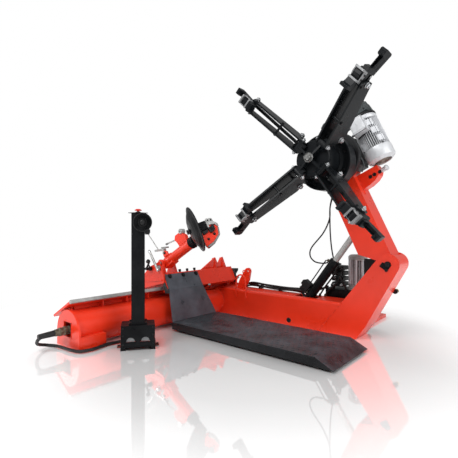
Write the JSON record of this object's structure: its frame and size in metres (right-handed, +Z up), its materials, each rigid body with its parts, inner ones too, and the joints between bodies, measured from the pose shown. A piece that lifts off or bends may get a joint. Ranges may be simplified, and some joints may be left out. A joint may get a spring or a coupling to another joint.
{
  "type": "tire changer",
  "caption": "L-shaped floor-standing truck tire changer with a swinging jaw chuck, hydraulic lift cylinder, sliding tool carriage with bead disc and hook, and a free-standing control post.",
  "frame": {"origin": "on the floor, on the underside of the junction pad, under the long tube's axis and at the middle of the cross beam's width", "axes": "+X along the cross beam towards the knee leg, +Y along the long tube away from the control post, +Z up"},
  "size_m": [2.1268, 2.5419, 1.8363],
  "materials": {
    "bare_steel": "machined",
    "black_paint": "satin",
    "chrome": "polished",
    "grey_sheet": "satin",
    "hose_rubber": "matte",
    "motor_grey": "satin",
    "red_paint": "gloss",
    "red_plastic": "gloss"
  },
  "bodies": {
    "base": {"base_tube": "red_paint", "front_end_plate": "red_paint", "rear_end_plate": "red_paint", "front_foot": "red_paint", "junction_pad": "red_paint", "guide_plate": "red_paint", "guide_bar": "bare_steel", "cross_beam": "red_paint", "knee_leg": "red_paint", "knee_pin": "black_paint", "lifting_hoop": "red_paint", "anchor_lug": "red_paint", "oil_tank": "black_paint", "pump_motor": "motor_grey", "valve_block": "black_paint", "traverse_barrel": "black_paint", "supply_hose": "hose_rubber", "console_base": "black_paint", "console_post": "black_paint", "joystick_guard": "black_paint"},
    "joystick": {"joystick": "black_paint"},
    "stop_button": {"emergency_stop": "red_plastic"},
    "carriage": {"carriage_box": "red_paint", "carriage_end_plate": "red_paint", "tilt_bracket": "red_paint", "carriage_lugs": "red_paint", "apron_plate": "grey_sheet", "platform": "grey_sheet", "traverse_rod": "chrome", "tilt_pin": "bare_steel"},
    "tilt_lock": {"tilt_lock_handle": "chrome"},
    "tool_arm": {"tool_arm_tube": "red_paint"},
    "index_pin": {"index_pin": "bare_steel"},
    "tool_head": {"tool_head": "black_paint", "hook_body": "red_paint", "hook_tip": "bare_steel"},
    "bead_disc": {"bead_disc": "black_paint"},
    "chuck_arm": {"swing_arm": "red_paint", "gearbox_housing": "black_paint", "belt_cover": "grey_sheet", "chuck_motor": "motor_grey", "motor_terminal_box": "motor_grey", "side_bracket": "red_paint"},
    "lift_barrel": {"lift_barrel": "black_paint"},
    "lift_rod": {"lift_rod": "chrome"},
    "chuck": {"chuck_drum": "black_paint", "chuck_hub": "black_paint", "hub_nut": "chrome"},
    "jaw_arm_1": {"jaw_arm_1": "black_paint"},
    "jaw_link_1": {"jaw_link_1": "bare_steel"},
    "jaw_block_1": {"jaw_block_1": "bare_steel"},
    "jaw_arm_2": {"jaw_arm_2": "black_paint"},
    "jaw_link_2": {"jaw_link_2": "bare_steel"},
    "jaw_block_2": {"jaw_block_2": "bare_steel"},
    "jaw_arm_3": {"jaw_arm_3": "black_paint"},
    "jaw_link_3": {"jaw_link_3": "bare_steel"},
    "jaw_block_3": {"jaw_block_3": "bare_steel"},
    "jaw_arm_4": {"jaw_arm_4": "black_paint"},
    "jaw_link_4": {"jaw_link_4": "bare_steel"},
    "jaw_block_4": {"jaw_block_4": "bare_steel"}
  },
  "joints": [
    {"name": "joystick_tilt", "type": "hinge", "parent": "base", "child": "joystick", "pos_m": [0.40353, -1.25341, 0.849], "axis": [0.5878, 0.809, 0], "range_deg": [-12, 12]},
    {"name": "stop_press", "type": "slide", "parent": "base", "child": "stop_button", "axis": [0, 0, -1], "range_m": [0, 0.004]},
    {"name": "carriage_slide", "type": "slide", "parent": "base", "child": "carriage", "axis": [0, 1, 0], "range_m": [-0.26, 0.18]},
    {"name": "tilt_lock_turn", "type": "hinge", "parent": "carriage", "child": "tilt_lock", "pos_m": [0.07, -0.87, 0.492], "axis": [0, -1, 0], "range_deg": [-35, 35]},
    {"name": "tool_arm_tilt", "type": "hinge", "parent": "carriage", "child": "tool_arm", "pos_m": [-0.015, -0.7, 0.518], "axis": [0, -1, 0], "range_deg": [0, 55]},
    {"name": "index_pin_pull", "type": "slide", "parent": "tool_arm", "child": "index_pin", "axis": [-0.9558, 0, -0.2939], "range_m": [0, 0.02]},
    {"name": "tool_head_turn", "type": "hinge", "parent": "tool_arm", "child": "tool_head", "pos_m": [0.29591, -0.7, 0.69376], "axis": [0.8704, 0, 0.4924], "range_deg": [0, 180]},
    {"name": "disc_spin", "type": "hinge", "parent": "tool_head", "child": "bead_disc", "pos_m": [0.508, -0.868, 0.802], "axis": [0.5068, 0.7847, 0.3569], "continuous": true},
    {"name": "arm_lift", "type": "hinge", "parent": "base", "child": "chuck_arm", "pos_m": [1.629, 0, 0.559], "axis": [0, 1, 0], "range_deg": [-30, 6]},
    {"name": "lift_barrel_swing", "type": "hinge", "parent": "base", "child": "lift_barrel", "pos_m": [0.931, 0, 0.19], "axis": [0, 1, 0], "range_deg": [-1, 3]},
    {"name": "lift_rod_slide", "type": "slide", "parent": "lift_barrel", "child": "lift_rod", "axis": [0.5893, 0, 0.8079], "range_m": [-0.185, 0.04]},
    {"name": "chuck_spin", "type": "hinge", "parent": "chuck_arm", "child": "chuck", "pos_m": [1.246, -0.305, 1.285], "axis": [0, -1, 0], "continuous": true},
    {"name": "jaw_arm_1_swing", "type": "hinge", "parent": "chuck", "child": "jaw_arm_1", "pos_m": [1.33961, -0.4986, 1.3723], "axis": [0.682, 0, -0.7314], "range_deg": [0, 45]},
    {"name": "jaw_link_1_swing", "type": "hinge", "parent": "chuck", "child": "jaw_link_1", "pos_m": [1.37252, -0.4636, 1.40299], "axis": [0.682, 0, -0.7314], "range_deg": [-1, 46]},
    {"name": "jaw_block_1_level", "type": "hinge", "parent": "jaw_arm_1", "child": "jaw_block_1", "pos_m": [1.64678, -0.632, 1.65874], "axis": [0.682, 0, -0.7314], "range_deg": [-46, 1]},
    {"name": "jaw_arm_2_swing", "type": "hinge", "parent": "chuck", "child": "jaw_arm_2", "pos_m": [1.1587, -0.4986, 1.37861], "axis": [0.7314, 0, 0.682], "range_deg": [-1, 46]},
    {"name": "jaw_link_2_swing", "type": "hinge", "parent": "chuck", "child": "jaw_link_2", "pos_m": [1.12801, -0.4636, 1.41152], "axis": [0.7314, 0, 0.682], "range_deg": [-1, 46]},
    {"name": "jaw_block_2_level", "type": "hinge", "parent": "jaw_arm_2", "child": "jaw_block_2", "pos_m": [0.87226, -0.632, 1.68578], "axis": [0.7314, 0, 0.682], "range_deg": [-46, 1]},
    {"name": "jaw_arm_3_swing", "type": "hinge", "parent": "chuck", "child": "jaw_arm_3", "pos_m": [1.15239, -0.4986, 1.1977], "axis": [-0.682, 0, 0.7314], "range_deg": [-1, 46]},
    {"name": "jaw_link_3_swing", "type": "hinge", "parent": "chuck", "child": "jaw_link_3", "pos_m": [1.11948, -0.4636, 1.16701], "axis": [-0.682, 0, 0.7314], "range_deg": [-1, 46]},
    {"name": "jaw_block_3_level", "type": "hinge", "parent": "jaw_arm_3", "child": "jaw_block_3", "pos_m": [0.84522, -0.632, 0.91126], "axis": [-0.682, 0, 0.7314], "range_deg": [-46, 1]},
    {"name": "jaw_arm_4_swing", "type": "hinge", "parent": "chuck", "child": "jaw_arm_4", "pos_m": [1.3333, -0.4986, 1.19139], "axis": [-0.7314, 0, -0.682], "range_deg": [-1, 46]},
    {"name": "jaw_link_4_swing", "type": "hinge", "parent": "chuck", "child": "jaw_link_4", "pos_m": [1.36399, -0.4636, 1.15848], "axis": [-0.7314, 0, -0.682], "range_deg": [-1, 46]},
    {"name": "jaw_block_4_level", "type": "hinge", "parent": "jaw_arm_4", "child": "jaw_block_4", "pos_m": [1.61973, -0.632, 0.88422], "axis": [-0.7314, 0, -0.682], "range_deg": [-46, 1]}
  ],
  "couplings": [
    {"joint": "lift_barrel_swing", "follows": "arm_lift", "ratio": -0.0877},
    {"joint": "lift_rod_slide", "follows": "arm_lift", "m_per_rad": 0.34},
    {"joint": "jaw_link_1_swing", "follows": "jaw_arm_1_swing", "ratio": 1},
    {"joint": "jaw_block_1_level", "follows": "jaw_arm_1_swing", "ratio": -1},
    {"joint": "jaw_arm_2_swing", "follows": "jaw_arm_1_swing", "ratio": 1},
    {"joint": "jaw_link_2_swing", "follows": "jaw_arm_1_swing", "ratio": 1},
    {"joint": "jaw_block_2_level", "follows": "jaw_arm_1_swing", "ratio": -1},
    {"joint": "jaw_arm_3_swing", "follows": "jaw_arm_1_swing", "ratio": 1},
    {"joint": "jaw_link_3_swing", "follows": "jaw_arm_1_swing", "ratio": 1},
    {"joint": "jaw_block_3_level", "follows": "jaw_arm_1_swing", "ratio": -1},
    {"joint": "jaw_arm_4_swing", "follows": "jaw_arm_1_swing", "ratio": 1},
    {"joint": "jaw_link_4_swing", "follows": "jaw_arm_1_swing", "ratio": 1},
    {"joint": "jaw_block_4_level", "follows": "jaw_arm_1_swing", "ratio": -1}
  ]
}
